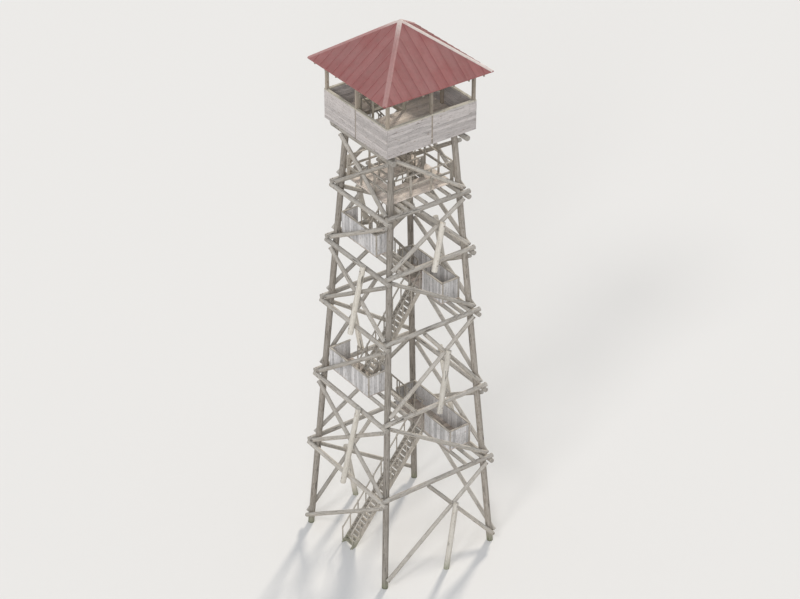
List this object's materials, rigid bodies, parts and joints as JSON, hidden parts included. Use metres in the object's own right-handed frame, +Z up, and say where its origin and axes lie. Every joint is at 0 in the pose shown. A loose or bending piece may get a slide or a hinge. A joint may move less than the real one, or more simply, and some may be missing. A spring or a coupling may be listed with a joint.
{
  "type": "fire lookout tower",
  "caption": "Tall open log tower with braced leaning sides, turning stair flights, landings and a roofed lookout cabin.",
  "frame": {"origin": "on the ground at the middle of the four legs", "axes": "+Z up, -Y out of the front side, +X out of the right side"},
  "size_m": [7.9132, 7.306, 28.6076],
  "materials": {
    "leg_log": "weathered peeled log",
    "beam_log": "silvered peeled log",
    "brace_log": "silvered peeled log",
    "prop_log": "pale peeled log",
    "deck_board": "weathered board",
    "guard_board": "weathered board",
    "stair_timber": "weathered timber",
    "parapet_board": "grey weathered board",
    "cabin_timber": "dark weathered timber",
    "roof_sheet": "faded red paint",
    "roof_cap": "faded pale red paint"
  },
  "bodies": {
    "root": {"braces_back": "brace_log", "braces_front": "brace_log", "braces_left": "brace_log", "braces_right": "brace_log", "cabin_floor": "deck_board", "cabin_joists": "cabin_timber", "cabin_posts": "cabin_timber", "cabin_ring": "beam_log", "flight_1": "stair_timber", "flight_2": "stair_timber", "flight_3": "stair_timber", "flight_4": "stair_timber", "flight_5": "stair_timber", "flight_6": "stair_timber", "guard_a": "guard_board", "guard_b": "guard_board", "guard_c": "guard_board", "guard_d": "guard_board", "guard_e": "guard_board", "hatch_guard": "stair_timber", "hip_caps": "roof_cap", "landing_a": "deck_board", "landing_b": "deck_board", "landing_c": "deck_board", "landing_d": "deck_board", "landing_e": "deck_board", "leg_back_left": "leg_log", "leg_back_right": "leg_log", "leg_front_left": "leg_log", "leg_front_right": "leg_log", "parapet_back": "parapet_board", "parapet_front": "parapet_board", "parapet_left": "parapet_board", "parapet_right": "parapet_board", "props_back": "prop_log", "props_front": "prop_log", "props_left": "prop_log", "props_right": "prop_log", "rafters": "cabin_timber", "ring_a": "beam_log", "ring_b": "beam_log", "ring_c": "beam_log", "ring_d": "beam_log", "ring_e": "beam_log", "roof_back": "roof_sheet", "roof_front": "roof_sheet", "roof_left": "roof_sheet", "roof_right": "roof_sheet", "wall_plates": "cabin_timber"}
  },
  "joints": []
}
